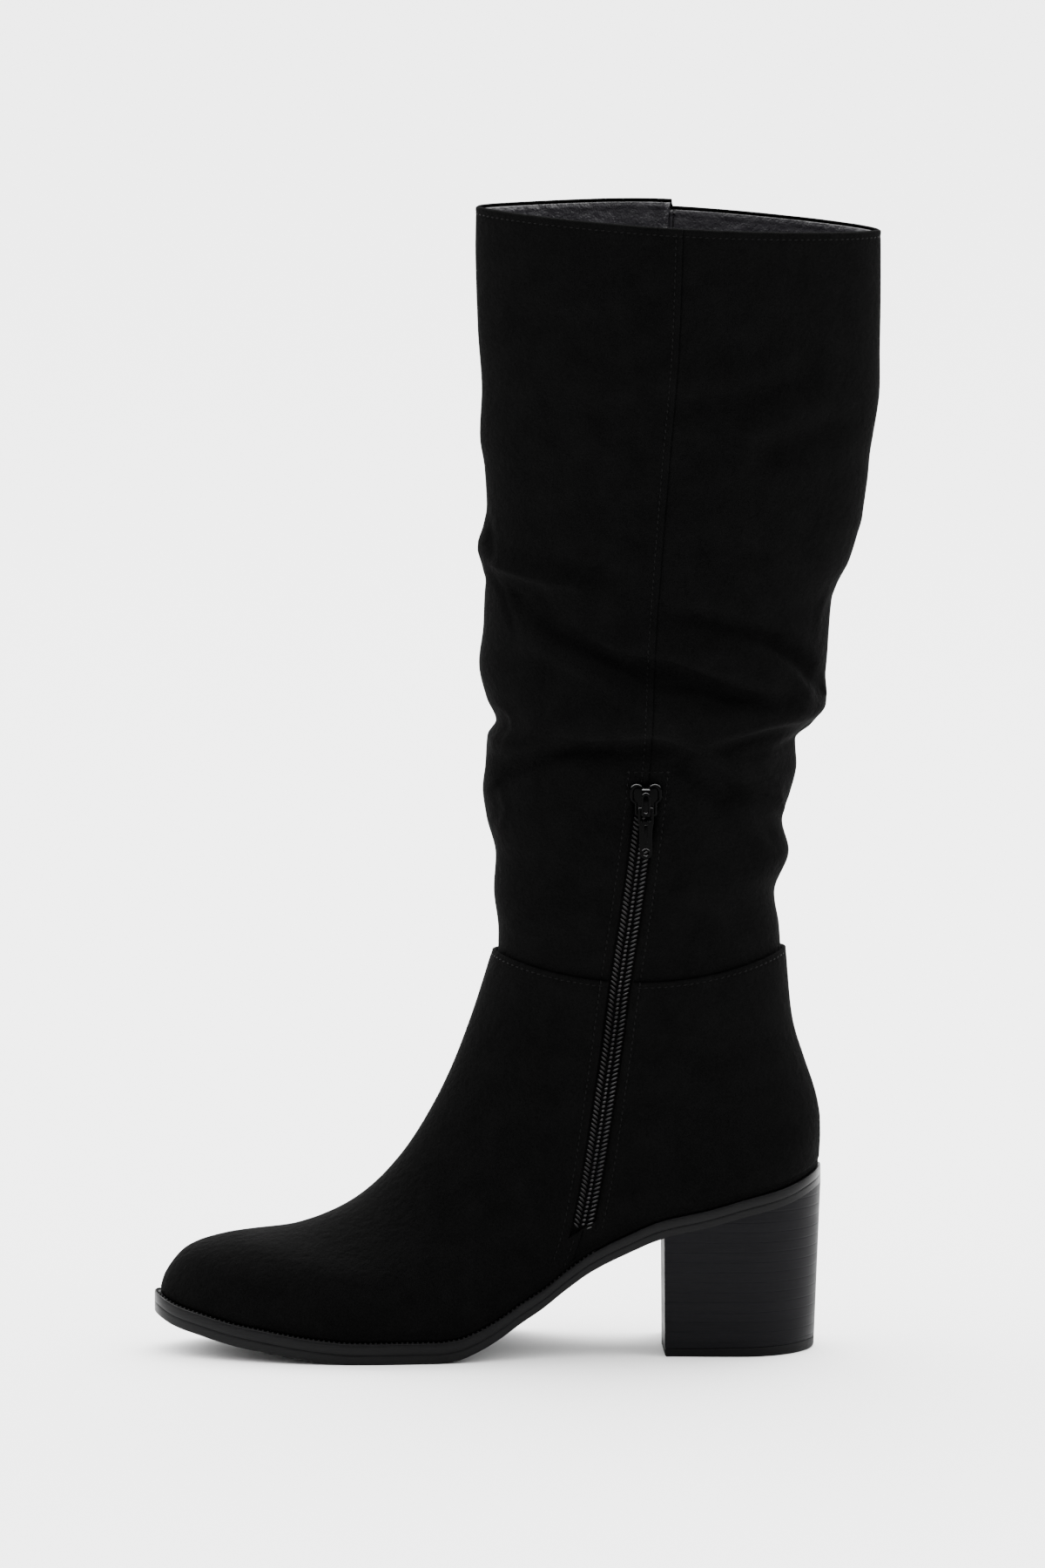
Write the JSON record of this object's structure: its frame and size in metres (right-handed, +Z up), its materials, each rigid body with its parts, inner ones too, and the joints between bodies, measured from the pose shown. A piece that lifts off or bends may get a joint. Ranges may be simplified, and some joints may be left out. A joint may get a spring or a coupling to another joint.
{
  "type": "slouch boot",
  "caption": "Knee-high black microsuede slouch boot for the right foot, with a round toe, a block heel and a short side zip.",
  "frame": {"origin": "centre of the heel's resting face, on the floor", "axes": "+Z up, the toe points to -X, the inner (zip) side faces -Y"},
  "size_m": [0.2779, 0.0867, 0.4407],
  "materials": {
    "suede": "black microsuede with a short matte nap",
    "sole_edge": "satin black sole edge",
    "heel_stack": "satin black, with fine stacked lines",
    "heel_rubber": "matte black",
    "insole_lining": "satin dark grey lining",
    "zip_tape": "matte woven tape",
    "zip_coil": "satin black coil",
    "black_enamel": "gloss black enamel"
  },
  "bodies": {
    "boot": {"upper": "suede", "shaft": "suede", "midsole": "sole_edge", "outsole": "sole_edge", "heel": "heel_stack", "top_lift": "heel_rubber", "insole": "insole_lining", "zip_tape": "zip_tape", "zip_coil": "zip_coil", "zip_slider": "black_enamel"},
    "zip_pull": {"zip_pull": "black_enamel"}
  },
  "joints": [
    {"name": "zip_pull_hinge", "type": "hinge", "parent": "boot", "child": "zip_pull", "pos_m": [-0.03568, -0.03699, 0.2138], "axis": [-1, 0, 0], "range_deg": [0, 135]}
  ]
}
